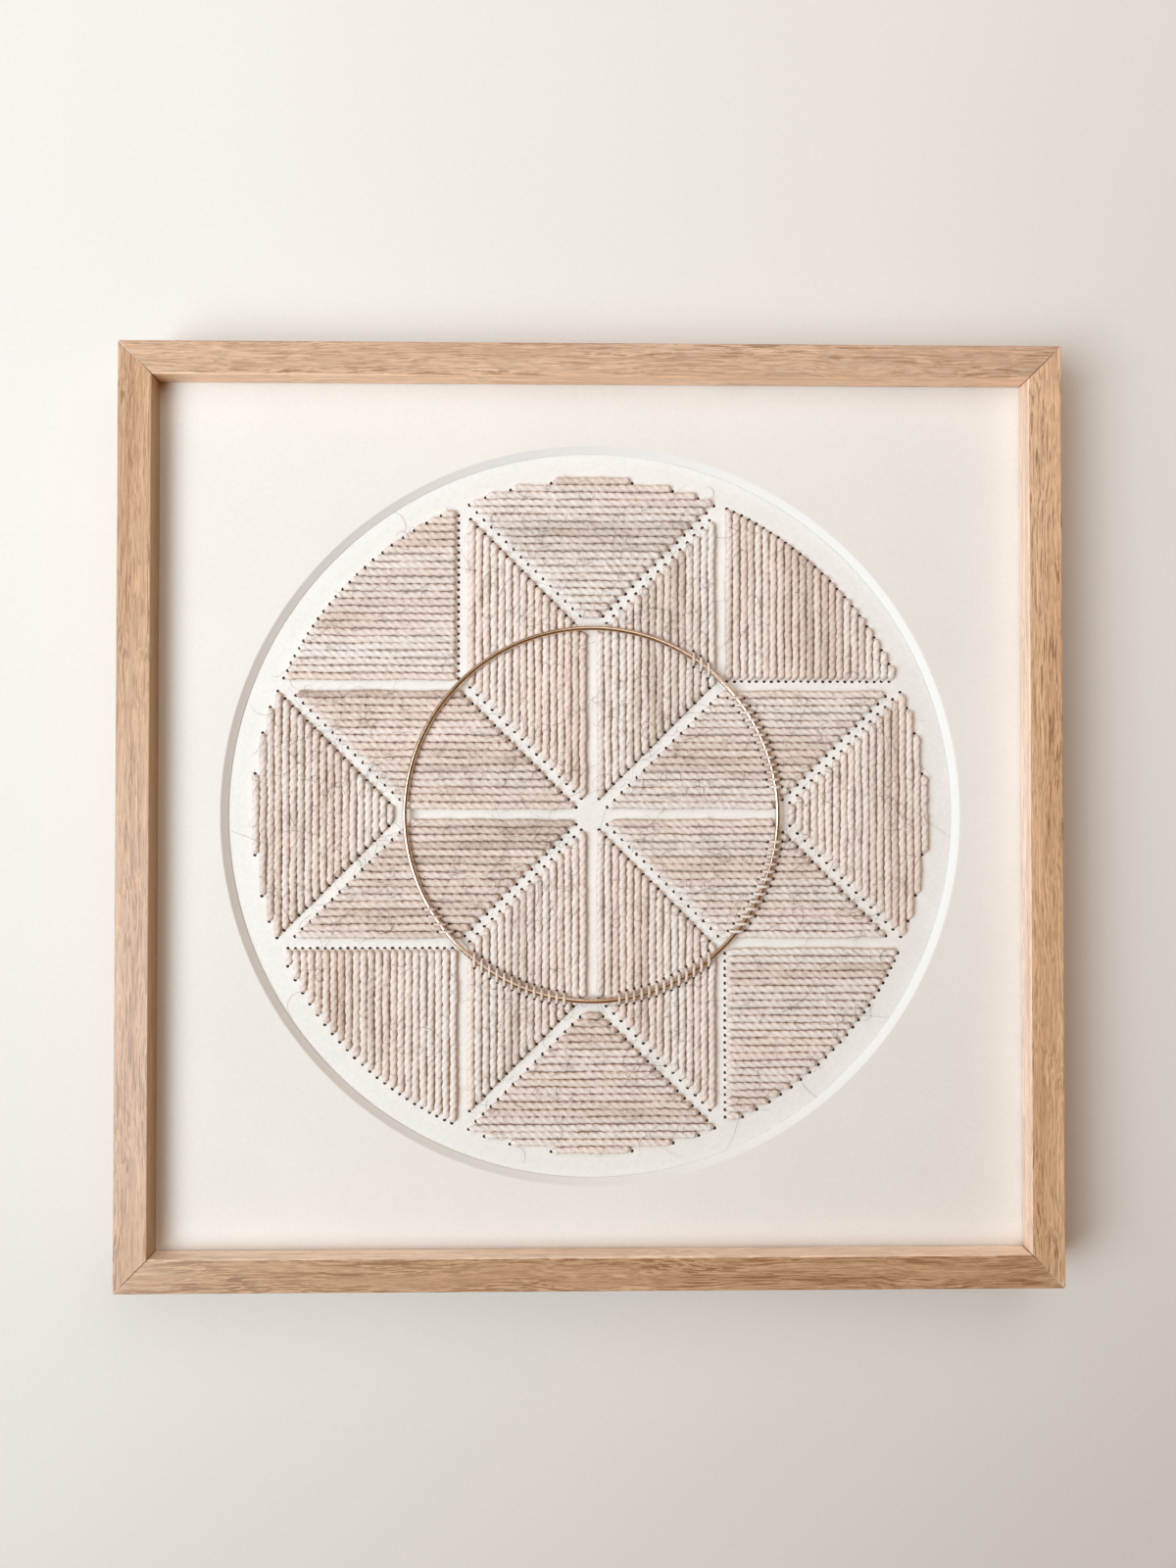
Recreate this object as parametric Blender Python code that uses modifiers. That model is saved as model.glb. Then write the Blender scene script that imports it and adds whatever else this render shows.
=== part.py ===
"""A wool-on-paper embroidery in a square oak box frame, lying on its back.

The embroidered sheet lies behind a white-cored window mat with a round opening.
Straight wool stitches fill an eight-pointed star and the pieces between its points,
and a brass ring lies on the stitches. Metres, +Z up. The origin is on the surface
that the frame's back rests on, under the middle of the frame.
"""

import math

import bmesh
import bpy
from mathutils import Matrix

# The clearance that touching pieces keep.
GAP = 0.0003

# The frame, seen from the front: a square of four mitred rails with a deep recess.
FRAME_SIDE = 0.420
FRAME_DEPTH = 0.035
RAIL_FACE = 0.015
RECESS = 0.012
REBATE = 0.0053
EDGE_ROUND = 0.0005

# The layers behind the recess, from the front.
MAT_THICK = 0.0028
PAPER_THICK = 0.0010
BACKING_THICK = 0.0030
WINDOW_RADIUS = 0.1672
WINDOW_SIDES = 96

# The stitched disc. A row of wool is one ridge, and sixteen rows fill each lozenge of the star.
DISC_RADIUS = 0.153
PIECE_GAP = 0.0046
ROWS_IN_LOZENGE = 16
ROW_HEIGHT = 0.0020
VALLEY_HEIGHT = 0.0010
ROW_TRIM = 0.00005
ARC_STEPS = 10

# The brass ring on the stitches.
RING_RADIUS = 0.0843
RING_WIRE_RADIUS = 0.0011
RING_SIDES = 72
RING_WIRE_SIDES = 8

# What follows from the sizes above.
HALF_SIDE = FRAME_SIDE / 2
REBATE_WALL = RAIL_FACE - REBATE
SHEET_SIDE = FRAME_SIDE - 2 * REBATE_WALL - 2 * GAP
MAT_TOP = FRAME_DEPTH - RECESS
MAT_BOTTOM = MAT_TOP - MAT_THICK
PAPER_TOP = MAT_BOTTOM - GAP
BACKING_TOP = PAPER_TOP - PAPER_THICK - GAP
STITCH_BOTTOM = PAPER_TOP + GAP
STITCH_TOP = STITCH_BOTTOM + ROW_HEIGHT
RING_HEIGHT = STITCH_TOP + GAP + RING_WIRE_RADIUS

# The star: eight lozenges with 45 degree points, whose side follows from the disc's radius.
LOZENGE_SIDE = DISC_RADIUS / (2 * math.cos(math.radians(22.5)))
LOZENGE_RISE = LOZENGE_SIDE / math.sqrt(2)
INSET = PIECE_GAP / 2
SLANT_INSET = INSET * math.sqrt(2)
ROW_PITCH = (LOZENGE_RISE - PIECE_GAP + 2 * ROW_TRIM) / ROWS_IN_LOZENGE

# Each turns a profile that is drawn in X and Y, and extruded along Z, so that its Y points up
# and it runs along the named axis.
ALONG_X = Matrix(((0, 0, 1, 0), (1, 0, 0, 0), (0, 1, 0, 0), (0, 0, 0, 1)))
ALONG_Y = Matrix.Rotation(math.pi / 2, 4, "X")


def clear_scene():
    for obj in list(bpy.data.objects):
        bpy.data.objects.remove(obj)


def new_collection(name):
    collection = bpy.data.collections.new(name)
    bpy.context.scene.collection.children.link(collection)
    return collection


def new_material(name, colour, roughness, metallic=0.0):
    material = bpy.data.materials.new(name)
    material.use_nodes = True
    shader = material.node_tree.nodes["Principled BSDF"]
    shader.inputs["Base Color"].default_value = (*colour, 1.0)
    shader.inputs["Roughness"].default_value = roughness
    shader.inputs["Metallic"].default_value = metallic
    return material


def add_object(name, mesh, collection, material=None):
    obj = bpy.data.objects.new(name, mesh)
    collection.objects.link(obj)
    if material:
        mesh.materials.clear()
        mesh.materials.append(material)
    return obj


def hide_helper(obj):
    obj.hide_render = True
    obj.display_type = "WIRE"


def extruded_mesh(name, points, half_depth):
    """A closed outline in X and Y, extruded by half_depth to both sides along Z."""
    curve = bpy.data.curves.new(name, "CURVE")
    curve.dimensions = "2D"
    curve.fill_mode = "BOTH"
    curve.extrude = half_depth
    spline = curve.splines.new("POLY")
    spline.points.add(len(points) - 1)
    for point, (x, y) in zip(spline.points, points):
        point.co = (x, y, 0, 1)
    spline.use_cyclic_u = True
    outline = bpy.data.objects.new(name, curve)
    bpy.context.scene.collection.objects.link(outline)
    graph = bpy.context.evaluated_depsgraph_get()
    mesh = bpy.data.meshes.new_from_object(outline.evaluated_get(graph))
    bpy.data.objects.remove(outline)
    shape = bmesh.new()
    shape.from_mesh(mesh)
    bmesh.ops.remove_doubles(shape, verts=shape.verts, dist=1e-6)
    bmesh.ops.recalc_face_normals(shape, faces=shape.faces)
    shape.to_mesh(mesh)
    shape.free()
    return mesh


def plate_mesh(name, side, bottom, thick):
    """A flat square sheet centred on the Z axis."""
    shape = bmesh.new()
    bmesh.ops.create_cube(shape, size=1)
    bmesh.ops.scale(shape, verts=shape.verts, vec=(side, side, thick))
    bmesh.ops.translate(shape, verts=shape.verts, vec=(0, 0, bottom + thick / 2))
    mesh = bpy.data.meshes.new(name)
    shape.to_mesh(mesh)
    shape.free()
    return mesh


def rail_mesh():
    """The front rail: an L section along X, with both ends cut to the mitre and its long edges
    marked for the bevel."""
    section = [
        (0, 0),
        (REBATE_WALL, 0),
        (REBATE_WALL, MAT_TOP + GAP),
        (RAIL_FACE, MAT_TOP + GAP),
        (RAIL_FACE, FRAME_DEPTH),
        (0, FRAME_DEPTH),
    ]
    mesh = extruded_mesh("rail", section, HALF_SIDE)
    mesh.transform(ALONG_X)
    for vertex in mesh.vertices:
        from_outside = vertex.co.y
        mitre_end = HALF_SIDE - from_outside - GAP / math.sqrt(2)
        vertex.co.x = math.copysign(mitre_end, vertex.co.x)
        vertex.co.y = from_outside - HALF_SIDE
    weights = mesh.attributes.new("bevel_weight_edge", "FLOAT", "EDGE")
    for edge in mesh.edges:
        start, end = (mesh.vertices[index].co for index in edge.vertices)
        runs_along = abs(start.x - end.x) > HALF_SIDE
        weights.data[edge.index].value = 1.0 if runs_along else 0.0
    return mesh


def add_rails(collection, oak):
    mesh = rail_mesh()
    for turn, side in enumerate(("front", "right", "back", "left")):
        rail = add_object(f"rail_{side}", mesh, collection, oak)
        rail.rotation_euler.z = turn * math.pi / 2
        bevel = rail.modifiers.new("Softened edges", "BEVEL")
        bevel.width = EDGE_ROUND
        bevel.segments = 2
        bevel.limit_method = "WEIGHT"


def add_window_mat(collection, helpers, board):
    """The mat, whose round window widens towards the front at 45 degrees."""
    past = MAT_THICK
    shape = bmesh.new()
    bmesh.ops.create_cone(
        shape,
        cap_ends=True,
        segments=WINDOW_SIDES,
        radius1=WINDOW_RADIUS - MAT_THICK - past,
        radius2=WINDOW_RADIUS + past,
        depth=MAT_THICK + 2 * past,
    )
    bmesh.ops.translate(shape, verts=shape.verts, vec=(0, 0, MAT_BOTTOM + MAT_THICK / 2))
    cone = bpy.data.meshes.new("window_cutter")
    shape.to_mesh(cone)
    shape.free()
    cutter = add_object("window_cutter", cone, helpers)
    hide_helper(cutter)
    sheet = plate_mesh("window_mat", SHEET_SIDE, MAT_BOTTOM, MAT_THICK)
    window_mat = add_object("window_mat", sheet, collection, board)
    window = window_mat.modifiers.new("Window", "BOOLEAN")
    window.operation = "DIFFERENCE"
    window.object = cutter


def ridge_profile(start, rows):
    """Across the rows: a flat underside, then one ridge with sloped shoulders for each row of wool."""
    end = start + rows * ROW_PITCH
    shoulder = VALLEY_HEIGHT + 0.75 * (ROW_HEIGHT - VALLEY_HEIGHT)
    ridge = ((0, VALLEY_HEIGHT), (0.22, shoulder), (0.5, ROW_HEIGHT), (0.78, shoulder))
    top = [
        (start + (row + share) * ROW_PITCH, STITCH_BOTTOM + height)
        for row in range(rows)
        for share, height in ridge
    ]
    top.append((end, STITCH_BOTTOM + VALLEY_HEIGHT))
    under = STITCH_BOTTOM - ROW_HEIGHT
    return [(start, under), (end, under), *reversed(top)]


def arc(start_angle, end_angle):
    """Points on the disc's edge, both ends included."""
    steps = [start_angle + (end_angle - start_angle) * i / ARC_STEPS for i in range(ARC_STEPS + 1)]
    return [(DISC_RADIUS * math.cos(a), DISC_RADIUS * math.sin(a)) for a in steps]


def lozenge_outline():
    """The star's piece from 0 to 45 degrees, with two sides along X."""
    low, high = INSET, LOZENGE_RISE - INSET
    inner, outer = SLANT_INSET, LOZENGE_SIDE - SLANT_INSET
    return [(low + inner, low), (low + outer, low), (high + outer, high), (high + inner, high)]


def edge_outline():
    """The piece on the +X axis, between two points of the star and the disc's edge."""
    corner = LOZENGE_SIDE + SLANT_INSET
    meets_x = (corner + math.sqrt(2 * DISC_RADIUS**2 - corner**2)) / 2
    angle = math.acos(meets_x / DISC_RADIUS)
    return [(corner, 0), *arc(-angle, angle)]


def corner_outline():
    """The piece on the diagonal, with two straight sides along X and Y."""
    corner = LOZENGE_RISE + INSET
    angle = math.asin(corner / DISC_RADIUS)
    return [(corner, corner), *arc(angle, math.pi / 2 - angle)]


def mirrored(outline):
    """The outline on the other side of the diagonal."""
    return [(y, x) for x, y in reversed(outline)]


def stitched_mesh(name, outline, rows_along, helpers):
    """The outline's shape, cut from a slab of ridges that run along X or along Y."""
    across = 1 if rows_along == "X" else 0
    first = min(point[across] for point in outline) - ROW_TRIM
    reach = max(point[across] for point in outline) - first
    rows = math.ceil(reach / ROW_PITCH)
    ridges = extruded_mesh(f"{name}_ridges", ridge_profile(first, rows), DISC_RADIUS)
    ridges.transform(ALONG_X if rows_along == "X" else ALONG_Y)
    cutter = add_object(f"{name}_ridges", ridges, helpers)
    hide_helper(cutter)
    prism = extruded_mesh(name, outline, ROW_HEIGHT)
    prism.transform(Matrix.Translation((0, 0, STITCH_BOTTOM + ROW_HEIGHT)))
    blank = add_object(f"{name}_outline", prism, helpers)
    boolean = blank.modifiers.new("Rows", "BOOLEAN")
    boolean.operation = "INTERSECT"
    boolean.object = cutter
    graph = bpy.context.evaluated_depsgraph_get()
    mesh = bpy.data.meshes.new_from_object(blank.evaluated_get(graph))
    bpy.data.objects.remove(blank)
    return mesh


def add_stitched_pieces(collection, helpers, wool):
    """A quarter of the disc holds each shape once, and the other quarters are that one turned."""
    shapes = (
        ("star_low", lozenge_outline(), "X"),
        ("star_high", mirrored(lozenge_outline()), "Y"),
        ("edge", edge_outline(), "Y"),
        ("corner", corner_outline(), "Y"),
    )
    for name, outline, rows_along in shapes:
        mesh = stitched_mesh(name, outline, rows_along, helpers)
        for quarter in range(4):
            piece = add_object(f"stitched_{name}_{quarter + 1}", mesh, collection, wool)
            piece.rotation_euler.z = quarter * math.pi / 2


def add_ring(collection, brass):
    bpy.ops.mesh.primitive_torus_add(
        location=(0, 0, RING_HEIGHT),
        major_radius=RING_RADIUS,
        minor_radius=RING_WIRE_RADIUS,
        major_segments=RING_SIDES,
        minor_segments=RING_WIRE_SIDES,
    )
    ring = bpy.context.object
    ring.name = "brass_ring"
    for holder in list(ring.users_collection):
        holder.objects.unlink(ring)
    collection.objects.link(ring)
    ring.data.shade_smooth()
    ring.data.materials.append(brass)


def main():
    clear_scene()
    part = new_collection("framed_paper_embroidery")
    helpers = new_collection("cutters")
    oak = new_material("oak", (0.62, 0.42, 0.26), 0.55)
    board = new_material("mat board", (0.86, 0.83, 0.79), 0.9)
    paper = new_material("paper", (0.89, 0.87, 0.84), 0.9)
    backing = new_material("backing", (0.45, 0.36, 0.27), 0.85)
    wool = new_material("wool", (0.68, 0.58, 0.52), 1.0)
    brass = new_material("brass", (0.75, 0.55, 0.33), 0.25, 1.0)

    add_rails(part, oak)
    add_window_mat(part, helpers, board)
    paper_bottom = PAPER_TOP - PAPER_THICK
    add_object("paper_sheet", plate_mesh("paper", SHEET_SIDE, paper_bottom, PAPER_THICK), part, paper)
    backing_bottom = BACKING_TOP - BACKING_THICK
    backing_mesh = plate_mesh("backing", SHEET_SIDE, backing_bottom, BACKING_THICK)
    add_object("backing_board", backing_mesh, part, backing)
    add_stitched_pieces(part, helpers, wool)
    add_ring(part, brass)


main()
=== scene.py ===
"""The looks of a wool-on-paper embroidery in an oak box frame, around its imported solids.

The oak rails and the backing board keep their solids and get a better finish. The mat, the paper,
the rows of wool and the ring are modelled finely in the place of theirs.
"""

import math

import bmesh
import bpy
import numpy as np
from mathutils import Euler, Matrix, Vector


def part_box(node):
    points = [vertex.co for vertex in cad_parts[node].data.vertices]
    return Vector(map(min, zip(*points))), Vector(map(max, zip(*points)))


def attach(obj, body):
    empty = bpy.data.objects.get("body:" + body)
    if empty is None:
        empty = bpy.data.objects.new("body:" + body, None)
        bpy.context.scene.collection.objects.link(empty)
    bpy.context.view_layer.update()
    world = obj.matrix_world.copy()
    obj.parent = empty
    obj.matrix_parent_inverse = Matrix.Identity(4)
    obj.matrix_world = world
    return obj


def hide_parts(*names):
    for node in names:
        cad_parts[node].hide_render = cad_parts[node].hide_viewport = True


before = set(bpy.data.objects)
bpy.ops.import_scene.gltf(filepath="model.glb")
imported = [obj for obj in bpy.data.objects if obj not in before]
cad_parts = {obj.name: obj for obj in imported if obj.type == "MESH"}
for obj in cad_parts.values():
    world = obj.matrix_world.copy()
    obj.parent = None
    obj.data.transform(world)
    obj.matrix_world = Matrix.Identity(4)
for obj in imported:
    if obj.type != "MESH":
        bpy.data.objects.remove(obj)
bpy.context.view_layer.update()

# The camera, above the frame and almost square to it. Places are measured from the front's middle.
CAMERA_OFFSET = Vector((-0.0111, 0.0060, 0.5418))
CAMERA_TILT = (math.radians(0.80), math.radians(-0.97), math.radians(0.02))
CAMERA_LENS = 28.1
CAMERA_SENSOR = 36.0

# The wool: two plies twisted together, pressed a little flat where a row lies on the paper.
YARN_RADIUS = 0.00176
YARN_FLATNESS = 0.67
YARN_SQUARENESS = 0.72
GROOVE = 0.81
SHOULDER = 0.96
TWIST_LENGTH = 0.0078

# The lower part of the yarn, by the sine of the angle round it, darkened with painted shade.
FLANK_SHADE_FROM = -0.3
FLANK_SHADE_TO = 0.50

# How far the yarn's twist, thickness and points stray, and over what lengths.
TWIST_STRAY = 0.12
TWIST_STRAY_LENGTH = 0.015
THICKNESS_STRAY = 0.10
THICKNESS_STRAY_LENGTH = 0.0035
POINT_STRAY = 0.035

# The heathered yarn's tone and warmth: a mean, and waves that each have a strength and a length.
WOOL_LENGTH = 12.0
WOOL_STEP = 0.002
WOOL_BETWEEN_ROWS = 0.004
TONE_MEAN = 0.675
TONE_WAVES = ((0.27, 0.26), (0.17, 0.055), (0.08, 0.013))
WARMTH_MEAN = 0.5
WARMTH_WAVES = ((0.45, 0.31), (0.25, 0.08))

# The streaks of each stretch of yarn start at random in their noise, up to this far along it.
STREAKS_REACH = 10

# A row of yarn: its points, how it lies on the paper, and how it leaves one hole and enters the next.
YARN_STEP = 0.00065
END_STEP = 0.00032
END_ZONE = 0.0030
SHORT_ROW_POINTS = 16
ROW_CENTRE_HEIGHT = 0.00118
HOLE_DEPTH = 0.0005
LIFT_LENGTH = 0.0020
TAPER_LENGTH = 0.0021
END_SIZE = 0.46
END_ASIDE = 0.00036
WOBBLE = 0.00027
WOBBLE_LENGTH = 0.011
HEIGHT_WOBBLE = 0.00010
HEIGHT_WOBBLE_LENGTH = 0.007

# The rows' places in a stitched piece, whose outline is read a little above its underside.
ROWS_IN_LOZENGE = 16
ROW_INSET = 0.0003
SHORTEST_ROW = 0.0045
OUTLINE_HEIGHT = 0.0005
RAY_RUN_UP = 0.01

# The stitches that hold the ring down, on the part of its round between these angles. They are
# thinner than the rows and darker with painted shade, as in the ring's shadow, and come up and go
# down in the grooves between them.
COUCHED_FROM = math.radians(-152)
COUCHED_TO = math.radians(58)
HOLE_TO_RING = 0.0025
COUCH_SIZE = 0.40
COUCH_SHADE = -0.06
COUCH_MARGIN = 0.0008
COUCH_POINTS = 17
COUCH_SQUARENESS = 0.75
COUCH_PRESS = 0.9
COUCH_LENGTH = 0.012

# The needle's holes, each a flat dark disc of painted shade for the shade inside the hole. A row's
# lie a little past its ends, and to one side of it. Those of the stitches over the ring lie higher,
# in the grooves.
HOLE_RADIUS = 0.00076
HOLE_SIDES = 8
HOLE_PAST = 0.00042
HOLE_ASIDE = 0.00075
GROOVE_HOLE_RADIUS = 0.00060
GROOVE_HOLE_HEIGHT = 0.00216
HOLE_SHAPES = (0.85, 1.2)
HOLE_STRAY = 0.0001
HOLE_FLOOR = -0.0001
HOLE_BRIM = 0.00006

# Loose fibres: their size and curl, and their height over the rows, or on the paper outside them.
# Their lengths are the shortest one and a random part, of a gamma distribution.
HAIR_COUNT = 1900
HAIR_RADIUS = 0.000066
HAIR_THICKNESSES = (0.7, 1.4)
HAIR_TAPER = 0.6
HAIR_SIDES = 4
HAIR_POINTS = 12
HAIR_SHORTEST = 0.0015
HAIR_LENGTHS = (2.2, 0.0026)
HAIR_CURL = 2.2
HAIR_CURL_CHANGE = 1.5
HAIR_HEIGHTS = (0.0001, 0.0006)
HAIR_ARCH = 0.0008
HAIR_HEIGHT_ON_PAPER = 0.0003
HAIR_SETTLING = 0.003

# The light: soft daylight from the left, two weaker lights past the picture's top and its upper left
# corner, and a dim warm room, over a plain floor. The corner's light is otherwise as the top's.
DAYLIGHT_PLACE = (-1.15, -0.22, 1.45)
DAYLIGHT_AIM = (-0.2, 0.62, 0.0)
DAYLIGHT_SPREAD = math.radians(118)
DAYLIGHT_SIZE = 1.3
DAYLIGHT_POWER = 18.0
DAYLIGHT_COLOUR = (0.836, 0.943, 1.0)
TOP_PLACE = (0.35, 0.75, 1.1)
TOP_AIM = (0.0, 0.0, 0.0)
TOP_SPREAD = math.pi
TOP_SIZE = 1.0
TOP_POWER = 4.5
TOP_COLOUR = (1.0, 0.985, 0.96)
CORNER_PLACE = (-0.75, 0.8, 1.15)
CORNER_POWER = 2.0
ROOM_COLOUR = (1.0, 0.425, 0.03)
ROOM_STRENGTH = 0.166
FLOOR_SIDE = 8

# The mat's window, whose edges are eased. The white core shows between these loops of its points.
WINDOW_STEPS = 288
WINDOW_EASE = 0.00012
BEVEL_LOOPS = range(4, 7)
MAT_SHARP_ANGLE = math.radians(30)

# The paper's slight cockle, from waves with so many radians to a metre.
PAPER_CELLS = 120
PAPER_COCKLE = 0.00004
PAPER_SHARP_ANGLE = math.radians(40)
COCKLE_WAVES = 6
COCKLE_RATES = (20, 90)
COCKLE_PHASES = (0, 6)

# The ring's points along the wire and round it.
RING_STEPS = 300
WIRE_STEPS = 20

# The oak of each rail: whether its grain runs along Y, where in the wood it is cut, the tint of its
# faces, the painted light and shade of its inner wall, and the noise from which it has pores. The inner
# walls are painted lighter for the light and the white mat's reflection that fall on them, and the left
# one darker for its shade.
RAILS = {
    "rail_front": (False, (0.0, 0.013, 0.0), (0.86, 0.77, 0.64), (1.62, 1.84, 2.05), 0.52),
    "rail_back": (False, (0.9, 0.051, 0.02), (0.94, 0.885, 0.855), (1.36, 1.27, 1.15), 0.54),
    "rail_left": (True, (0.4, 0.027, 0.05), (0.86, 0.755, 0.63), (0.71, 0.61, 0.41), 0.55),
    "rail_right": (True, (1.7, 0.094, 0.03), (1.10, 1.00, 0.87), (1.38, 1.48, 1.66), 0.57),
}

# How softly the pores set in, and how far past the inner wall its painted light and shade gives way to the
# face's tint.
PORE_EDGE = 0.025
WALL_EDGE = (0.0002, 0.0005)

# The seeds of the random draws. Each stitched piece has the seed after the last one's.
FIRST_WOOL_SEED = 11
HOLE_SEED = 5
HAIR_SEED = 23
COCKLE_SEED = 3


def corner_pair(node):
    """The lowest and highest corner of a solid, as arrays."""
    low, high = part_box(node)
    return np.array(low), np.array(high)


PAPER_LOW, PAPER_HIGH = corner_pair("paper_sheet")
MAT_LOW, MAT_HIGH = corner_pair("window_mat")
RING_LOW, RING_HIGH = corner_pair("brass_ring")
FRONT = corner_pair("rail_front")[1][2]
PAPER_TOP = PAPER_HIGH[2]
MAT_THICK = MAT_HIGH[2] - MAT_LOW[2]
WALL_PLACE = corner_pair("rail_right")[0][0]
STITCHED_NODES = sorted(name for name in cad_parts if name.startswith("stitched_"))
WIRE_RADIUS = (RING_HIGH[2] - RING_LOW[2]) / 2
RING_RADIUS = RING_HIGH[0] - WIRE_RADIUS
RING_HEIGHT = RING_LOW[2] + WIRE_RADIUS


def window_radius():
    """The mat's opening at its front, from the solid's own points."""
    points = np.array([vertex.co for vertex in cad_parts["window_mat"].data.vertices])
    front = points[points[:, 2] > MAT_HIGH[2] - MAT_THICK / 4]
    return np.hypot(front[:, 0], front[:, 1]).min()


def lozenge_pitch():
    """The distance between rows, which fill a lozenge of the star exactly."""
    low, high = corner_pair("stitched_star_low_1")
    return (high[1] - low[1]) / ROWS_IN_LOZENGE


ROW_PITCH = lozenge_pitch()
WINDOW_RADIUS = window_radius()


# Materials


def add_node(tree, kind, inputs=None, **settings):
    """A shader node with its settings, and its inputs set to values or linked to other sockets."""
    made = tree.nodes.new(kind)
    for name, value in settings.items():
        setattr(made, name, value)
    for socket, value in (inputs or {}).items():
        if isinstance(value, bpy.types.NodeSocket):
            tree.links.new(value, made.inputs[socket])
        else:
            made.inputs[socket].default_value = value
    return made


def new_material(name, roughness, metallic=0.0):
    material = bpy.data.materials.new(name)
    material.use_nodes = True
    shader = material.node_tree.nodes["Principled BSDF"]
    shader.inputs["Roughness"].default_value = roughness
    shader.inputs["Metallic"].default_value = metallic
    return material, material.node_tree, shader


def noise(tree, place, stretch, detail=2.0, roughness=0.5, distortion=0.0):
    """Noise with so many features to a metre along each axis of the place."""
    mapped = add_node(tree, "ShaderNodeMapping", {"Vector": place, "Scale": stretch})
    values = {
        "Vector": mapped.outputs["Vector"],
        "Scale": 1.0,
        "Detail": detail,
        "Roughness": roughness,
        "Distortion": distortion,
    }
    return add_node(tree, "ShaderNodeTexNoise", values).outputs["Fac"]


def ramp(tree, value, stops):
    """A colour ramp with a stop for each (position, colour)."""
    made = add_node(tree, "ShaderNodeValToRGB", {"Fac": value})
    elements = made.color_ramp.elements
    while len(elements) < len(stops):
        elements.new(0.5)
    for element, (position, colour) in zip(elements, stops):
        element.position = position
        element.color = (*colour, 1.0)
    return made.outputs["Color"]


def span(tree, value, from_low, from_high, to_low, to_high):
    """The value, mapped from one span to another and kept inside it."""
    values = {
        "Value": value,
        "From Min": from_low,
        "From Max": from_high,
        "To Min": to_low,
        "To Max": to_high,
    }
    return add_node(tree, "ShaderNodeMapRange", values).outputs["Result"]


def maths(tree, operation, first, second):
    made = add_node(tree, "ShaderNodeMath", {0: first, 1: second}, operation=operation)
    return made.outputs[0]


def mix(tree, blend, share, first, second):
    """Two colours mixed, with the second one over the first by that share.

    The mix node has sockets of the same names for each kind of value, so they go by number.
    """
    made = add_node(tree, "ShaderNodeMix", data_type="RGBA", blend_type=blend)
    for index, value in ((0, share), (6, first), (7, second)):
        if isinstance(value, bpy.types.NodeSocket):
            tree.links.new(value, made.inputs[index])
        elif isinstance(value, tuple):
            made.inputs[index].default_value = (*value, 1.0)
        else:
            made.inputs[index].default_value = value
    return made.outputs[2]


def bump(tree, height, strength, distance):
    values = {"Height": height, "Strength": strength, "Distance": distance}
    return add_node(tree, "ShaderNodeBump", values).outputs["Normal"]


def object_place(tree, turned=False):
    """Places on the object, turned a quarter where the grain runs along Y."""
    place = add_node(tree, "ShaderNodeTexCoord").outputs["Object"]
    if turned:
        turn = (0, 0, math.pi / 2)
        place = add_node(tree, "ShaderNodeMapping", {"Vector": place, "Rotation": turn}).outputs["Vector"]
    return place


def oak_material(name, turned, shift, tint, wall_light_and_shade, pore_from):
    """Light oak: streaks and fine lines along a swaying grain, and short dark open pores in bands.

    The rails' inner walls have painted light and shade of their own, and fainter pores.
    """
    material, tree, shader = new_material(name, 0.5)
    place = object_place(tree, turned)
    moved = add_node(tree, "ShaderNodeMapping", {"Vector": place, "Location": shift}).outputs["Vector"]
    sway = span(tree, noise(tree, moved, (11, 30, 30), 2), 0.0, 1.0, -0.005, 0.005)
    offset = add_node(tree, "ShaderNodeCombineXYZ", {"Y": sway, "Z": sway}).outputs["Vector"]
    grain = add_node(tree, "ShaderNodeVectorMath", {0: moved, 1: offset}, operation="ADD").outputs["Vector"]
    streaks = noise(tree, grain, (5, 210, 210), 3, 0.6)
    bands = noise(tree, grain, (9, 150, 150), 2)
    lines = noise(tree, grain, (26, 1500, 1500), 4, 0.7)
    pores = noise(tree, grain, (60, 1500, 1500), 2, 0.6)
    fine_pores = noise(tree, grain, (130, 2300, 2300), 1, 0.5)
    wood = ramp(
        tree,
        streaks,
        (
            (0.30, (0.64, 0.420, 0.275)),
            (0.50, (0.73, 0.505, 0.350)),
            (0.70, (0.80, 0.580, 0.420)),
        ),
    )
    across = add_node(tree, "ShaderNodeSeparateXYZ", {"Vector": place}).outputs["Y"]
    from_middle = maths(tree, "ABSOLUTE", across, 0.0)
    wall_from, wall_to = (WALL_PLACE + edge for edge in WALL_EDGE)
    on_wall = span(tree, from_middle, wall_from, wall_to, 1.0, 0.0)
    # Painted light and shade: the inner wall's colour is lifted or lowered for the light that falls on it.
    wood = mix(tree, "MULTIPLY", 1.0, wood, mix(tree, "MIX", on_wall, tint, wall_light_and_shade))
    line_share = span(tree, lines, 0.34, 0.66, 0.75, 1.17)
    wood = mix(tree, "MULTIPLY", 1.0, wood, line_share)
    band_share = span(tree, bands, 0.42, 0.56, 0.3, 1.0)
    pore_share = span(tree, pores, pore_from, pore_from + PORE_EDGE, 0.0, 1.0)
    pore_share = maths(tree, "MULTIPLY", pore_share, band_share)
    fine_share = span(tree, fine_pores, 0.56, 0.64, 0.0, 0.55)
    pore_share = maths(tree, "MAXIMUM", pore_share, fine_share)
    pore_share = maths(tree, "MULTIPLY", pore_share, span(tree, on_wall, 0.0, 1.0, 1.0, 0.35))
    wood = mix(tree, "MIX", pore_share, wood, (0.34, 0.175, 0.080))
    tree.links.new(wood, shader.inputs["Base Color"])
    shader.inputs["Coat Weight"].default_value = 0.4
    shader.inputs["Coat Roughness"].default_value = 0.22
    tree.links.new(span(tree, lines, 0.3, 0.7, 0.32, 0.46), shader.inputs["Roughness"])
    relief = maths(tree, "SUBTRACT", line_share, pore_share)
    tree.links.new(bump(tree, relief, 0.35, 0.00012), shader.inputs["Normal"])
    return material


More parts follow.
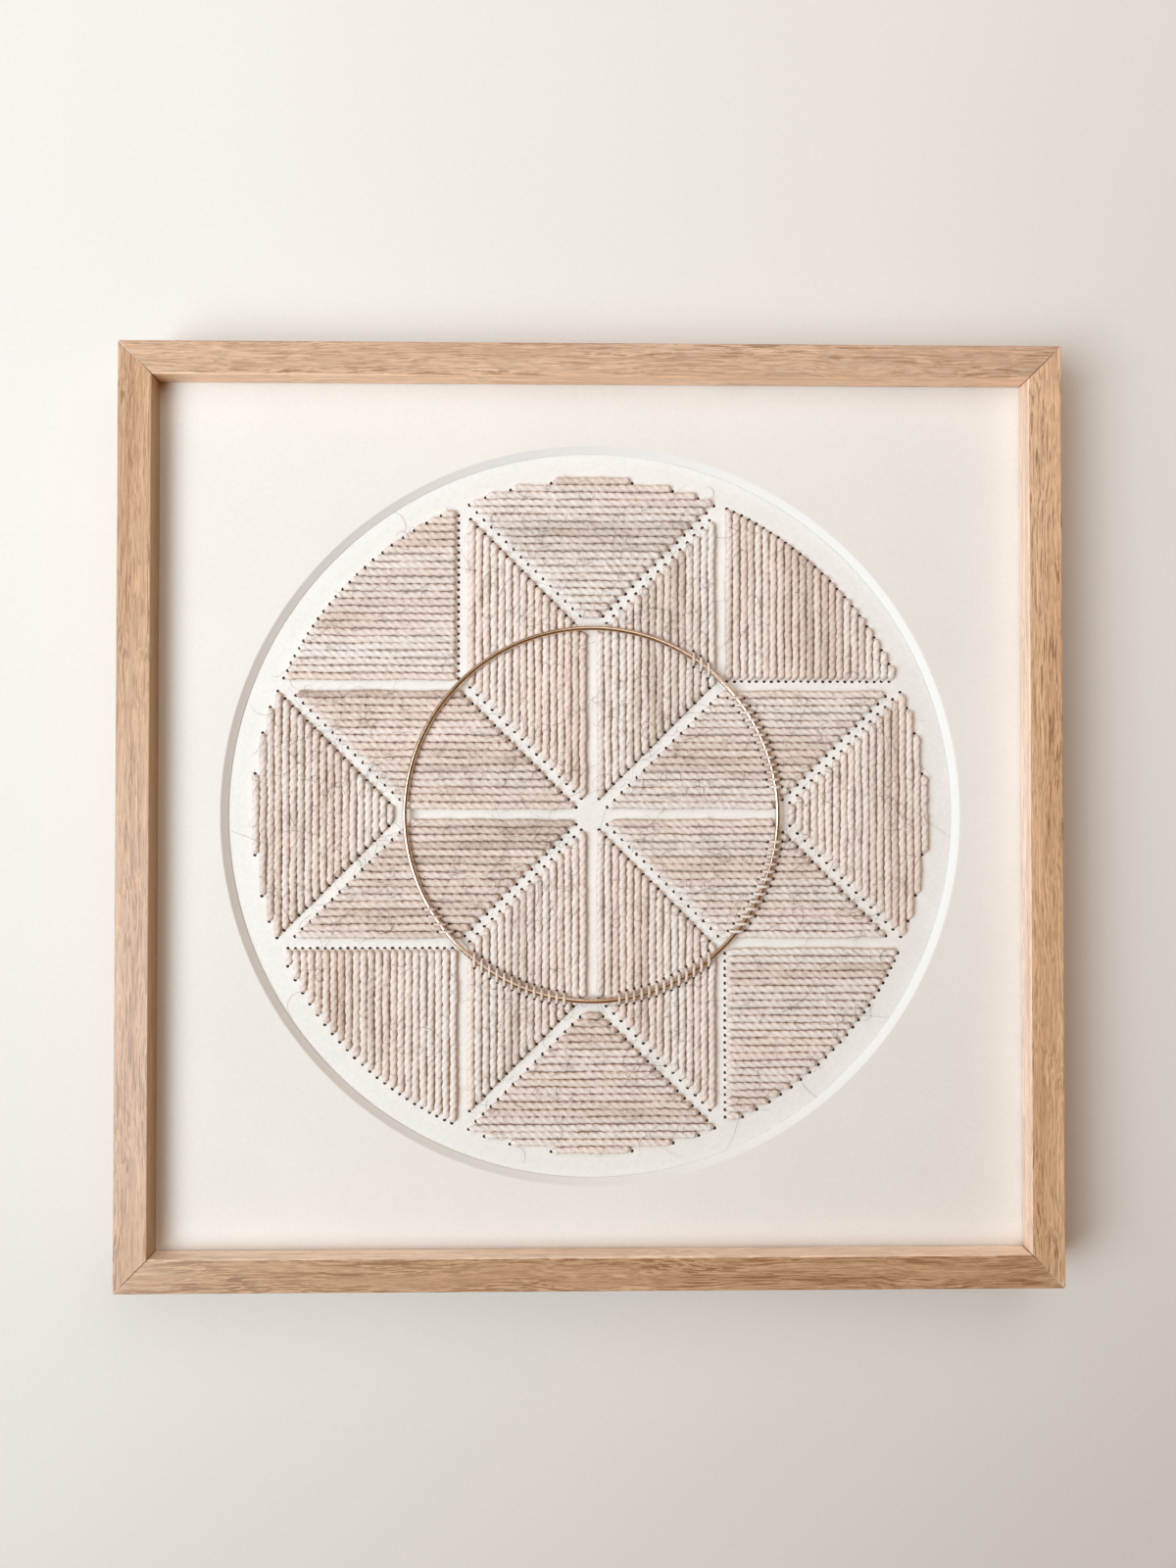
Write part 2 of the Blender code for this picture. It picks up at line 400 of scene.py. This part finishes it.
def mat_material():
    """Cream mat board with a faint felt texture."""
    material, tree, shader = new_material("cream mat board", 0.92)
    place = object_place(tree)
    cloud = noise(tree, place, (18, 18, 18), 2)
    felt = noise(tree, place, (1100, 800, 900), 3, 0.6)
    colour = ramp(tree, cloud, ((0.3, (0.862, 0.836, 0.803)), (0.7, (0.887, 0.861, 0.828))))
    colour = mix(tree, "MULTIPLY", 1.0, colour, span(tree, felt, 0.3, 0.7, 0.965, 1.02))
    tree.links.new(colour, shader.inputs["Base Color"])
    tree.links.new(bump(tree, felt, 0.25, 0.00008), shader.inputs["Normal"])
    return material


def core_material():
    """The white core that the bevel shows."""
    material, tree, shader = new_material("white mat core", 0.85)
    place = object_place(tree)
    fibres = noise(tree, place, (1500, 1500, 4000), 3, 0.6)
    colour = ramp(tree, fibres, ((0.3, (0.90, 0.895, 0.885)), (0.7, (0.93, 0.925, 0.915))))
    tree.links.new(colour, shader.inputs["Base Color"])
    tree.links.new(bump(tree, fibres, 0.15, 0.00005), shader.inputs["Normal"])
    return material


def paper_material():
    """White watercolour paper with a cold-pressed tooth."""
    material, tree, shader = new_material("watercolour paper", 0.95)
    place = object_place(tree)
    tooth = noise(tree, place, (620, 620, 620), 3, 0.55, 0.3)
    cloud = noise(tree, place, (30, 30, 30), 2)
    colour = ramp(tree, cloud, ((0.3, (0.885, 0.868, 0.845)), (0.7, (0.915, 0.900, 0.880))))
    colour = mix(tree, "MULTIPLY", 1.0, colour, span(tree, tooth, 0.3, 0.7, 0.95, 1.02))
    tree.links.new(colour, shader.inputs["Base Color"])
    tree.links.new(bump(tree, tooth, 0.55, 0.00018), shader.inputs["Normal"])
    return material


def hole_shade_material():
    """Painted shade: the near black inside a pricked hole."""
    material, tree, shader = new_material("shade in the needle holes", 1.0)
    place = object_place(tree)
    rough_edge = noise(tree, place, (2500, 2500, 2500), 2)
    colour = ramp(tree, rough_edge, ((0.3, (0.035, 0.018, 0.011)), (0.7, (0.08, 0.045, 0.03))))
    tree.links.new(colour, shader.inputs["Base Color"])
    shader.inputs["Specular IOR Level"].default_value = 0.05
    return material


def wool_material():
    """Heathered wool: pinkish cream to grey brown along the yarn, streaked along its plies, with painted
    shade in the grooves between the plies and on the lower flanks.
    """
    material, tree, shader = new_material("heathered wool", 1.0)
    shader.inputs["Sheen Weight"].default_value = 0.15
    shader.inputs["Sheen Roughness"].default_value = 0.6
    shader.inputs["Sheen Tint"].default_value = (1.0, 0.84, 0.74, 1.0)
    shader.inputs["Specular IOR Level"].default_value = 0.15
    tone = add_node(tree, "ShaderNodeAttribute", attribute_name="tone").outputs["Fac"]
    crease = add_node(tree, "ShaderNodeAttribute", attribute_name="crease").outputs["Fac"]
    flank = add_node(tree, "ShaderNodeAttribute", attribute_name="flank").outputs["Fac"]
    warmth = add_node(tree, "ShaderNodeAttribute", attribute_name="warmth").outputs["Fac"]
    fibre = add_node(tree, "ShaderNodeAttribute", attribute_name="fibre").outputs["Vector"]
    place = object_place(tree)
    streak = noise(tree, fibre, (500, 5200, 1), 3, 0.65)
    mottle = noise(tree, place, (900, 900, 900), 2, 0.6)
    shade = maths(tree, "ADD", tone, span(tree, streak, 0.2, 0.8, -0.24, 0.24))
    shade = maths(tree, "ADD", shade, span(tree, mottle, 0.2, 0.8, -0.12, 0.12))
    colour = ramp(
        tree,
        shade,
        (
            (0.05, (0.46, 0.355, 0.290)),
            (0.35, (0.80, 0.690, 0.622)),
            (0.60, (0.96, 0.864, 0.804)),
            (0.90, (0.99, 0.934, 0.892)),
        ),
    )
    dye = mix(tree, "MIX", warmth, (0.955, 0.962, 0.965), (0.99, 0.930, 0.905))
    colour = mix(tree, "MULTIPLY", 1.0, colour, dye)
    # Painted shade in the groove between the plies.
    colour = mix(tree, "MULTIPLY", 1.0, colour, span(tree, crease, 0.0, 1.0, 1.0, 0.84))
    # Painted shade on the lower flanks, stronger in some stretches than others, darkening and browning the
    # wool.
    patchy = span(tree, noise(tree, fibre, (170, 1, 1), 2), 0.35, 0.65, 0.55, 1.0)
    colour = mix(tree, "MULTIPLY", maths(tree, "MULTIPLY", flank, patchy), colour, (0.90, 0.60, 0.38))
    tree.links.new(colour, shader.inputs["Base Color"])
    relief = maths(tree, "ADD", streak, mottle)
    tree.links.new(bump(tree, relief, 0.42, 0.00025), shader.inputs["Normal"])
    return material


def hair_material():
    """Fibres from near black to pale brown."""
    material, tree, shader = new_material("loose wool fibres", 0.8)
    shader.inputs["Specular IOR Level"].default_value = 0.1
    tone = add_node(tree, "ShaderNodeAttribute", attribute_name="tone").outputs["Fac"]
    colour = ramp(tree, tone, ((0.0, (0.06, 0.037, 0.025)), (1.0, (0.42, 0.32, 0.25))))
    tree.links.new(colour, shader.inputs["Base Color"])
    return material


def brass_material():
    """Polished brass with faint wear along the wire."""
    material, tree, shader = new_material("polished brass", 0.2, 1.0)
    place = object_place(tree)
    tarnish = noise(tree, place, (60, 60, 60), 3, 0.6)
    scratches = noise(tree, place, (900, 900, 3500), 2, 0.6)
    colour = ramp(tree, tarnish, ((0.3, (0.68, 0.53, 0.40)), (0.7, (0.83, 0.70, 0.59))))
    tree.links.new(colour, shader.inputs["Base Color"])
    tree.links.new(span(tree, scratches, 0.3, 0.7, 0.12, 0.26), shader.inputs["Roughness"])
    return material


def backing_material():
    """Brown hardboard."""
    material, tree, shader = new_material("brown hardboard", 0.8)
    place = object_place(tree)
    chips = noise(tree, place, (700, 700, 700), 4, 0.7)
    cloud = noise(tree, place, (12, 12, 12), 3)
    colour = ramp(tree, cloud, ((0.3, (0.30, 0.20, 0.125)), (0.7, (0.38, 0.26, 0.165))))
    colour = mix(tree, "MULTIPLY", 1.0, colour, span(tree, chips, 0.25, 0.75, 0.75, 1.2))
    tree.links.new(colour, shader.inputs["Base Color"])
    tree.links.new(bump(tree, chips, 0.3, 0.0001), shader.inputs["Normal"])
    return material


def floor_material():
    """A plain pale floor, very faintly clouded."""
    material, tree, shader = new_material("pale floor", 0.85)
    place = object_place(tree)
    cloud = noise(tree, place, (5, 5, 5), 2)
    grain = noise(tree, place, (500, 500, 500), 2)
    colour = ramp(tree, cloud, ((0.3, (0.835, 0.817, 0.792)), (0.7, (0.850, 0.832, 0.808))))
    colour = mix(tree, "MULTIPLY", 1.0, colour, span(tree, grain, 0.3, 0.7, 0.985, 1.01))
    tree.links.new(colour, shader.inputs["Base Color"])
    return material


# Shapes


def smooth_noise(rng, distance, step):
    """Random values from -1 to 1 that change smoothly over distances of about a step."""
    place = distance / step
    low = place.astype(int)
    share = place - low
    share = share * share * (3 - 2 * share)
    values = rng.uniform(-1, 1, low.max() + 2)
    return values[low] * (1 - share) + values[low + 1] * share


def smoothstep(value):
    """The value kept between 0 and 1, and eased at both."""
    value = np.clip(value, 0, 1)
    return value * value * (3 - 2 * value)


def headings(path):
    """The direction of a path at each of its points."""
    tangent = np.gradient(path, axis=0)
    return tangent / np.linalg.norm(tangent, axis=1)[:, None]


class TubeMesh:
    """Gathers closed tubes, each given by its rings of points, into one mesh of quads."""

    def __init__(self):
        self.points = []
        self.faces = []
        self.values = {}
        self.count = 0

    def add(self, rings, **values):
        """Rings is an array of stations by sides by 3. Each value has a number for each point."""
        stations, sides = rings.shape[:2]
        index = np.arange(stations * sides).reshape(stations, sides) + self.count
        after = np.roll(index, -1, axis=1)
        walls = np.stack([index[:-1], after[:-1], after[1:], index[1:]], axis=-1)
        self.faces.append(walls.reshape(-1, 4))
        for ring, step in ((index[0], -1), (index[-1], 1)):
            corners = range(1, sides - 1, 2)
            cap = [(ring[0], ring[i], ring[i + 1], ring[(i + 2) % sides]) for i in corners]
            self.faces.append(np.array(cap)[:, ::step])
        self.points.append(rings.reshape(-1, 3))
        self.count += stations * sides
        for name, value in values.items():
            shape = rings.shape[:2] + value.shape[2:]
            self.values.setdefault(name, []).append(np.broadcast_to(value, shape).reshape(-1, *shape[2:]))

    def build(self, name, material):
        mesh = bpy.data.meshes.new(name)
        mesh.from_pydata(np.concatenate(self.points), [], np.concatenate(self.faces))
        for label, parts in self.values.items():
            data = np.concatenate(parts)
            kind = "FLOAT_VECTOR" if data.ndim == 2 else "FLOAT"
            field = "vector" if data.ndim == 2 else "value"
            attribute = mesh.attributes.new(label, kind, "POINT")
            attribute.data.foreach_set(field, data.astype(np.float32).ravel())
        mesh.shade_smooth()
        mesh.materials.append(material)
        return add_object(name, mesh)


def add_object(name, mesh):
    made = bpy.data.objects.new(name, mesh)
    bpy.context.scene.collection.objects.link(made)
    return made


def dress(piece, slot, *nodes):
    """The piece rides on the frame and stands for the nodes, which are hidden. The slot is not used."""
    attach(piece, "root")
    if nodes:
        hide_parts(*nodes)


# The yarn's cross-section: eight points that turn with the twist, with a groove between the plies, which
# gets painted shade.
AROUND = np.arange(8) * math.pi / 4
LOBES = np.array([1.0, SHOULDER, GROOVE, SHOULDER] * 2)
GROOVE_SHADE = np.array([0.0, 0.2, 1.0, 0.2] * 2)


def squared_off(value):
    """A sine or cosine that makes the round yarn a little boxy, as rows pressed together are."""
    return np.sign(value) * np.abs(value) ** YARN_SQUARENESS


def add_yarn(tubes, path, side, size, dye, rng):
    """Twisted yarn along a path that lies in the upright plane square to the side direction."""
    up = np.cross(headings(path), side)
    if up[len(up) // 2, 2] < 0:
        side, up = -side, -up
    steps = np.linalg.norm(np.diff(path, axis=0), axis=1)
    travel = np.concatenate([[0], np.cumsum(steps)])
    turns = travel / TWIST_LENGTH + rng.random()
    turns += TWIST_STRAY * smooth_noise(rng, travel, TWIST_STRAY_LENGTH)
    angle = 2 * math.pi * turns[:, None] + AROUND
    thickness = 1 + THICKNESS_STRAY * smooth_noise(rng, travel, THICKNESS_STRAY_LENGTH)
    radius = YARN_RADIUS * size * thickness
    radius = radius[:, None] * LOBES * (1 + rng.uniform(-POINT_STRAY, POINT_STRAY, angle.shape))
    sideways = radius * squared_off(np.cos(angle))
    upwards = radius * squared_off(np.sin(angle)) * YARN_FLATNESS
    rings = path[:, None] + sideways[..., None] * side + upwards[..., None] * up[:, None]
    girth = np.arange(len(AROUND)) * YARN_RADIUS * math.pi / 4
    start = rng.random() * STREAKS_REACH
    fibre = np.stack(np.broadcast_arrays(travel[:, None] + start, girth, start), axis=-1)
    # Painted shade: how much the yarn's lower flanks, where rows meet, are darkened.
    flank = 1 - smoothstep((np.sin(angle) - FLANK_SHADE_FROM) / (FLANK_SHADE_TO - FLANK_SHADE_FROM))
    tone, warmth = dye
    values = {"tone": tone[:, None], "warmth": warmth[:, None], "crease": GROOVE_SHADE[None, :]}
    tubes.add(rings, flank=flank, fibre=fibre, **values)


def row_stations(length):
    """Distances along a row, closer together at its ends."""
    near = np.arange(0, END_ZONE, END_STEP)
    middle = np.linspace(END_ZONE, length - END_ZONE, max(int((length - 2 * END_ZONE) / YARN_STEP), 2))
    return np.concatenate([near, middle, length - near[::-1]])


class Wool:
    """One long heathered yarn, whose tone at a distance along it is smooth and repeatable."""

    def __init__(self, seed):
        self.rng = np.random.default_rng(seed)
        self.used = 0.0
        self.grid = np.arange(0, WOOL_LENGTH, WOOL_STEP)
        self.tones = self.waves(TONE_MEAN, TONE_WAVES)
        self.warmths = self.waves(WARMTH_MEAN, WARMTH_WAVES)

    def waves(self, mean, parts):
        """A value that strays from its mean along the yarn."""
        value = np.full(len(self.grid), mean)
        for strength, length in parts:
            value += strength * smooth_noise(self.rng, self.grid, length)
        return value

    def draw(self, travel):
        """The tone and warmth of the next stretch of yarn at each distance along it."""
        place = self.used + travel
        self.used += travel[-1] + WOOL_BETWEEN_ROWS
        return np.interp(place, self.grid, self.tones), np.interp(place, self.grid, self.warmths)


def add_row(tubes, holes, wool, start, end, side, backwards):
    """A straight stitch between two holes. It rises out of one, lies flat, and dips into the other."""
    length = np.linalg.norm(end - start)
    if length < SHORTEST_ROW + 2 * END_ZONE:
        travel = np.linspace(0, length, SHORT_ROW_POINTS)
    else:
        travel = row_stations(length)
    from_end = np.minimum(travel, length - travel)
    lift = np.sin(math.pi / 2 * np.clip(from_end / LIFT_LENGTH, 0, 1))
    height = -HOLE_DEPTH + (ROW_CENTRE_HEIGHT + HOLE_DEPTH) * lift
    aside = -END_ASIDE * (1 - smoothstep(from_end / TAPER_LENGTH))
    sway = WOBBLE * smooth_noise(wool.rng, travel, WOBBLE_LENGTH) * lift + aside
    path = start + (travel / length)[:, None] * (end - start) + sway[:, None] * side
    rise = HEIGHT_WOBBLE * smooth_noise(wool.rng, travel, HEIGHT_WOBBLE_LENGTH) * lift
    path[:, 2] = PAPER_TOP + height + rise
    size = END_SIZE + (1 - END_SIZE) * smoothstep(from_end / TAPER_LENGTH)
    dye = wool.draw(travel)
    if backwards:
        dye = [value[::-1] for value in dye]
    add_yarn(tubes, path, side, size, dye, wool.rng)
    past = (end - start) / length * HOLE_PAST
    for place in (start - past, end + past):
        holes.append((place - side * HOLE_ASIDE, HOLE_RADIUS))


def add_couching(tubes, holes, wool, before, after, side):
    """A short tight stitch that rises between two rows, passes over the ring, and goes down again."""
    turn = np.linspace(math.pi, 0, COUCH_POINTS)
    across = np.sign(np.cos(turn)) * np.abs(np.cos(turn)) ** COUCH_SQUARENESS
    rise = np.sin(turn) ** COUCH_SQUARENESS
    yarn = COUCH_SIZE * YARN_RADIUS * YARN_FLATNESS * COUCH_PRESS
    top = RING_HEIGHT + WIRE_RADIUS + yarn - PAPER_TOP
    middle = (before + after) / 2
    path = middle + across[:, None] * (after - before) / 2
    path[:, 2] = PAPER_TOP - HOLE_DEPTH + (top + HOLE_DEPTH) * rise
    size = np.full(len(turn), COUCH_SIZE)
    tone, warmth = wool.draw(np.linspace(0, COUCH_LENGTH, len(turn)))
    # Painted shade: these stitches are a little darker than the rows.
    add_yarn(tubes, path, side, size, (tone + COUCH_SHADE, warmth), wool.rng)
    past = (after - before) / np.linalg.norm(after - before) * GROOVE_HOLE_RADIUS
    for place in (before - past, after + past):
        holes.append((place + (0, 0, GROOVE_HOLE_HEIGHT), GROOVE_HOLE_RADIUS))


def row_ends(node, level, place, along, across):
    """Where a line along a row enters and leaves the solid, or nothing where it misses."""
    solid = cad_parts[node]
    low, high = corner_pair(node)
    hits = []
    for origin, heading in ((low[along] - RAY_RUN_UP, 1), (high[along] + RAY_RUN_UP, -1)):
        point = Vector((0, 0, level))
        point[along] = origin
        point[across] = place
        direction = Vector((0, 0, 0))
        direction[along] = heading
        found, hit, _, _ = solid.ray_cast(point, direction)
        if not found:
            return None
        hits.append(hit[along] + heading * ROW_INSET)
    return hits


def couched(angle):
    """Whether the ring is sewn down at this angle round it."""
    return COUCHED_FROM < angle < COUCHED_TO


def ring_hop(first, last, place, along):
    """Where a stitch over the ring, between two rows, comes up and goes down, or nothing."""
    if abs(place) > RING_RADIUS:
        return None
    crossing = math.copysign(math.sqrt(RING_RADIUS**2 - place**2), first + last)
    gap = HOLE_TO_RING * RING_RADIUS / abs(crossing)
    angle = math.atan2(place, crossing) if along == 0 else math.atan2(crossing, place)
    clear = first + COUCH_MARGIN < crossing - gap and crossing + gap < last - COUCH_MARGIN
    if not clear or not couched(angle):
        return None
    return crossing - gap, crossing + gap


def point_at(along, across, distance, place):
    """A point on the paper, from its distance along a row and the row's own place."""
    point = np.zeros(3)
    point[along] = distance
    point[across] = place
    point[2] = PAPER_TOP
    return point


def add_field(node, wool_finish, seed, holes):
    """All rows of one stitched piece, in the place of its solid."""
    shape, quarter = node.removeprefix("stitched_").rsplit("_", 1)
    along_x_at_first = shape == "star_low"
    turned = int(quarter) % 2 == 0
    along = 0 if along_x_at_first != turned else 1
    across = 1 - along
    low, high = corner_pair(node)
    side = np.zeros(3)
    side[across] = 1.0
    outward = 1 if low[across] + high[across] > 0 else -1
    first_edge = low[across] if outward > 0 else high[across]
    level = low[2] + OUTLINE_HEIGHT
    wool = Wool(seed)
    tubes = TubeMesh()
    ends_before = None
    for number in range(math.ceil((high[across] - low[across]) / ROW_PITCH)):
        place = first_edge + outward * (number + 0.5) * ROW_PITCH
        ends = row_ends(node, level, place, along, across)
        if ends is None or ends[1] - ends[0] < SHORTEST_ROW:
            ends_before = None
            continue
        start = point_at(along, across, ends[0], place)
        end = point_at(along, across, ends[1], place)
        add_row(tubes, holes, wool, start, end, side, number % 2 == 1)
        if ends_before and shape.startswith("star"):
            first, last = max(ends[0], ends_before[0]), min(ends[1], ends_before[1])
            between = place - outward * ROW_PITCH / 2
            hop = ring_hop(first, last, between, along)
            if hop:
                before, after = (point_at(along, across, distance, between) for distance in hop)
                add_couching(tubes, holes, wool, before, after, side)
        ends_before = ends
    piece = tubes.build(f"wool_{shape}_{quarter}", wool_finish)
    dress(piece, "wool", node)


def add_stitches():
    """The wool of every stitched piece. The places of its needle holes come back."""
    wool_finish = wool_material()
    holes = []
    for seed, node in enumerate(STITCHED_NODES, start=FIRST_WOOL_SEED):
        add_field(node, wool_finish, seed, holes)
    return holes


def add_holes(holes):
    """A dark disc of painted shade for the pricked hole by each end of a row, and one by each end of a
    stitch over the ring.
    """
    tubes = TubeMesh()
    rng = np.random.default_rng(HOLE_SEED)
    around = np.arange(HOLE_SIDES) * 2 * math.pi / HOLE_SIDES
    circle = np.stack([np.cos(around), np.sin(around), np.zeros(HOLE_SIDES)], axis=1)
    for hole, radius in holes:
        shape = circle * radius * rng.uniform(*HOLE_SHAPES, (HOLE_SIDES, 1))
        centre = hole + (*rng.uniform(-HOLE_STRAY, HOLE_STRAY, 2), 0)
        floor = centre + shape + (0, 0, HOLE_FLOOR)
        brim = centre + shape + (0, 0, HOLE_BRIM)
        tubes.add(np.stack([floor, brim]))
    piece = tubes.build("needle_holes", hole_shade_material())
    dress(piece, "paper")


def add_hairs():
    """Loose fibres that stray over the rows and a little way onto the paper."""
    rng = np.random.default_rng(HAIR_SEED)
    tubes = TubeMesh()
    boxes = [corner_pair(name) for name in STITCHED_NODES]
    areas = np.array([(high[0] - low[0]) * (high[1] - low[1]) for low, high in boxes])
    reach = max(high[0] for low, high in boxes)
    top = boxes[0][1][2]
    made = 0
    around = np.arange(HAIR_SIDES) * 2 * math.pi / HAIR_SIDES
    while made < HAIR_COUNT:
        low, high = boxes[rng.choice(len(boxes), p=areas / areas.sum())]
        start = rng.uniform(low[:2], high[:2])
        if np.hypot(*start) > reach:
            continue
        length = rng.gamma(*HAIR_LENGTHS) + HAIR_SHORTEST
        share = np.linspace(0, 1, HAIR_POINTS)
        bend = rng.normal(0, HAIR_CURL) + rng.normal(0, HAIR_CURL_CHANGE) * share
        heading = rng.uniform(0, 2 * math.pi) + bend * share
        step = length / (HAIR_POINTS - 1)
        flat = np.stack([np.cos(heading), np.sin(heading)], axis=1) * step
        places = start + np.cumsum(flat, axis=0)
        outside = np.clip((np.hypot(places[:, 0], places[:, 1]) - reach) / HAIR_SETTLING, 0, 1)
        height = top + rng.uniform(*HAIR_HEIGHTS) + rng.uniform(0, HAIR_ARCH) * np.sin(math.pi * share)
        height = height * (1 - outside) + (PAPER_TOP + HAIR_HEIGHT_ON_PAPER) * outside
        path = np.column_stack([places, height])
        tangent = headings(path)
        side = np.cross(tangent, (0, 0, 1.0))
        side /= np.linalg.norm(side, axis=1)[:, None]
        up = np.cross(side, tangent)
        radius = HAIR_RADIUS * rng.uniform(*HAIR_THICKNESSES) * (1 - HAIR_TAPER * share[:, None, None])
        cosine, sine = np.cos(around)[None, :, None], np.sin(around)[None, :, None]
        ring = cosine * side[:, None] + sine * up[:, None]
        tone = np.full((HAIR_POINTS, 1), rng.random())
        tubes.add(path[:, None] + radius * ring, tone=tone)
        made += 1
    piece = tubes.build("loose_fibres", hair_material())
    dress(piece, "wool")


def add_ring():
    """The brass wire ring, round and smooth."""
    bpy.ops.mesh.primitive_torus_add(
        location=(0, 0, RING_HEIGHT),
        major_radius=RING_RADIUS,
        minor_radius=WIRE_RADIUS,
        major_segments=RING_STEPS,
        minor_segments=WIRE_STEPS,
    )
    ring = bpy.context.object
    ring.name = "ring_on_the_stitches"
    ring.data.shade_smooth()
    ring.data.materials.append(brass_material())
    dress(ring, "brass", "brass_ring")


WINDOW_ANGLES = np.arange(WINDOW_STEPS) * 2 * math.pi / WINDOW_STEPS
WINDOW_COSINES = np.cos(WINDOW_ANGLES)
WINDOW_SINES = np.sin(WINDOW_ANGLES)


def round_loop(radius, height):
    """Points round the middle at a height. The radius is one number, or one for each point."""
    heights = np.full(WINDOW_STEPS, height)
    return np.stack([radius * WINDOW_COSINES, radius * WINDOW_SINES, heights], axis=1)


def square_loop(half, height):
    """As many points round a square, at the same angles."""
    return round_loop(half / np.maximum(np.abs(WINDOW_COSINES), np.abs(WINDOW_SINES)), height)


def add_mat():
    """The mat board: loops of points from its outer edge, over its face, and down the bevel."""
    half, top, bottom = MAT_HIGH[0], MAT_HIGH[2], MAT_LOW[2]
    loops = [
        square_loop(half, bottom),
        square_loop(half, top),
        round_loop(WINDOW_RADIUS + 6 * WINDOW_EASE, top),
        round_loop(WINDOW_RADIUS + WINDOW_EASE, top),
        round_loop(WINDOW_RADIUS, top - WINDOW_EASE / 2),
        round_loop(WINDOW_RADIUS - WINDOW_EASE, top - WINDOW_EASE * 1.5),
        round_loop(WINDOW_RADIUS - MAT_THICK + WINDOW_EASE, bottom + WINDOW_EASE),
        round_loop(WINDOW_RADIUS - MAT_THICK, bottom),
    ]
    index = np.arange(len(loops) * WINDOW_STEPS).reshape(len(loops), WINDOW_STEPS)
    after = np.roll(index, -1, axis=1)
    below, below_after = np.roll(index, -1, axis=0), np.roll(after, -1, axis=0)
    faces = np.stack([index, after, below_after, below], axis=-1).reshape(-1, 4)
    mesh = bpy.data.meshes.new("bevelled_mat")
    mesh.from_pydata(np.concatenate(loops), [], faces)
    mesh.materials.append(mat_material())
    mesh.materials.append(core_material())
    for polygon in mesh.polygons:
        polygon.material_index = 1 if polygon.index // WINDOW_STEPS in BEVEL_LOOPS else 0
        polygon.use_smooth = True
    mesh.set_sharp_from_angle(angle=MAT_SHARP_ANGLE)
    dress(add_object("bevelled_mat", mesh), "mat_board", "window_mat")


def add_paper():
    """The stitched paper, a little cockled."""
    shape = bmesh.new()
    half = PAPER_HIGH[0]
    bmesh.ops.create_grid(shape, x_segments=PAPER_CELLS, y_segments=PAPER_CELLS, size=half)
    rng = np.random.default_rng(COCKLE_SEED)
    waves = [
        (rng.uniform(*COCKLE_RATES, 2), rng.uniform(*COCKLE_PHASES, 2)) for _ in range(COCKLE_WAVES)
    ]
    for vertex in shape.verts:
        x, y = vertex.co.x, vertex.co.y
        cockle = sum(
            math.sin(rate[0] * x + phase[0]) * math.cos(rate[1] * y + phase[1]) for rate, phase in waves
        )
        vertex.co.z = PAPER_TOP + PAPER_COCKLE * (cockle / COCKLE_WAVES - 1)
    rim = [edge for edge in shape.edges if edge.is_boundary]
    skirt = bmesh.ops.extrude_edge_only(shape, edges=rim)["geom"]
    for item in skirt:
        if isinstance(item, bmesh.types.BMVert):
            item.co.z = PAPER_LOW[2]
    under = [item for item in skirt if isinstance(item, bmesh.types.BMEdge) and item.is_boundary]
    bmesh.ops.edgeloop_fill(shape, edges=under)
    bmesh.ops.recalc_face_normals(shape, faces=shape.faces)
    mesh = bpy.data.meshes.new("stitched_paper")
    shape.to_mesh(mesh)
    shape.free()
    mesh.shade_smooth()
    mesh.set_sharp_from_angle(angle=PAPER_SHARP_ANGLE)
    mesh.materials.append(paper_material())
    paper = add_object("stitched_paper", mesh)
    dress(paper, "paper", "paper_sheet")


def finish_solids():
    """Better finishes for the solids whose shape stays."""
    for name, oak in RAILS.items():
        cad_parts[name].material_slots[0].material = oak_material(f"oak_{name}", *oak)
    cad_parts["backing_board"].material_slots[0].material = backing_material()


# The stage


def add_floor():
    bpy.ops.mesh.primitive_plane_add(size=FLOOR_SIDE, location=(0, 0, 0))
    floor = bpy.context.object
    floor.name = "floor"
    floor.data.materials.append(floor_material())


def add_area_light(name, place, aim, size, spread, power, colour):
    """A square light at a place, turned to face its aim."""
    data = bpy.data.lights.new(name, "AREA")
    data.size = size
    data.spread = spread
    data.energy = power
    data.color = colour
    light = bpy.data.objects.new(name, data)
    light.location = place
    light.rotation_euler = (Vector(aim) - Vector(place)).to_track_quat("-Z", "Y").to_euler()
    bpy.context.scene.collection.objects.link(light)


def add_lights():
    lights = {
        "window": (
            DAYLIGHT_PLACE, DAYLIGHT_AIM, DAYLIGHT_SIZE, DAYLIGHT_SPREAD, DAYLIGHT_POWER, DAYLIGHT_COLOUR
        ),
        "top_light": (TOP_PLACE, TOP_AIM, TOP_SIZE, TOP_SPREAD, TOP_POWER, TOP_COLOUR),
        "corner_light": (CORNER_PLACE, TOP_AIM, TOP_SIZE, TOP_SPREAD, CORNER_POWER, TOP_COLOUR),
    }
    for name, settings in lights.items():
        add_area_light(name, *settings)
    world = bpy.data.worlds.new("room")
    bpy.context.scene.world = world
    world.use_nodes = True
    background = world.node_tree.nodes["Background"]
    background.inputs["Color"].default_value = (*ROOM_COLOUR, 1.0)
    background.inputs["Strength"].default_value = ROOM_STRENGTH
    bpy.context.scene.view_settings.view_transform = "Standard"


def add_camera():
    data = bpy.data.cameras.new("camera")
    data.lens = CAMERA_LENS
    data.sensor_width = CAMERA_SENSOR
    camera = bpy.data.objects.new("camera", data)
    camera.location = Vector((0, 0, FRONT)) + CAMERA_OFFSET
    camera.rotation_euler = Euler(CAMERA_TILT)
    bpy.context.scene.collection.objects.link(camera)
    bpy.context.scene.camera = camera


def main():
    add_camera()
    add_lights()
    add_floor()
    finish_solids()
    add_mat()
    add_paper()
    add_holes(add_stitches())
    add_hairs()
    add_ring()


main()
